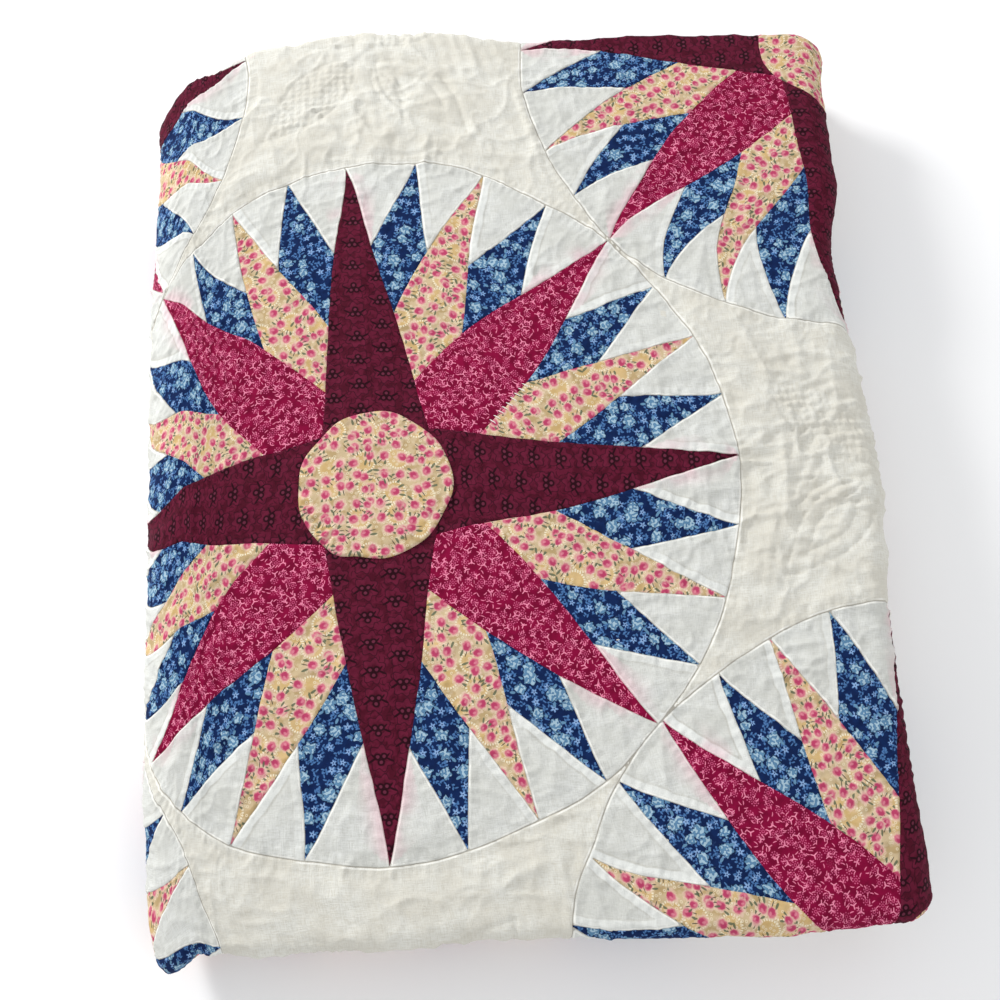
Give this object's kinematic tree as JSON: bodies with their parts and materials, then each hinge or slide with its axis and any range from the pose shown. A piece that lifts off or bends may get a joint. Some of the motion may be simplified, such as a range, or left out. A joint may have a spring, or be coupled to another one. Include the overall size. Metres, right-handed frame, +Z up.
{
  "type": "folded star quilt blanket",
  "caption": "Hand-quilted patchwork blanket folded into a soft flat block, with a compass star and an appliqued round patch on its upper face.",
  "frame": {"origin": "middle of the footprint, on the surface the folded quilt rests on", "axes": "+X along the block's short side, from its big outer fold to its double folds; +Y along the long side; +Z up"},
  "size_m": [0.47, 0.6048, 0.0734],
  "materials": {
    "quilt_cloth": "unbleached cotton muslin, hand quilted, matte and softly puckered",
    "white_cotton": "white plain-weave cotton, matte",
    "floral_calico": "tan cotton print with small pink buds and green leaves, matte",
    "blue_calico": "navy cotton print with pale blue roses and sprigs, matte",
    "burgundy_calico": "burgundy cotton print with small dark sprigs, matte",
    "raspberry_calico": "raspberry cotton print with fine pale pink sprigs, matte"
  },
  "bodies": {
    "root": {"quilt": "quilt_cloth", "centre_disc": "floral_calico"}
  },
  "joints": []
}
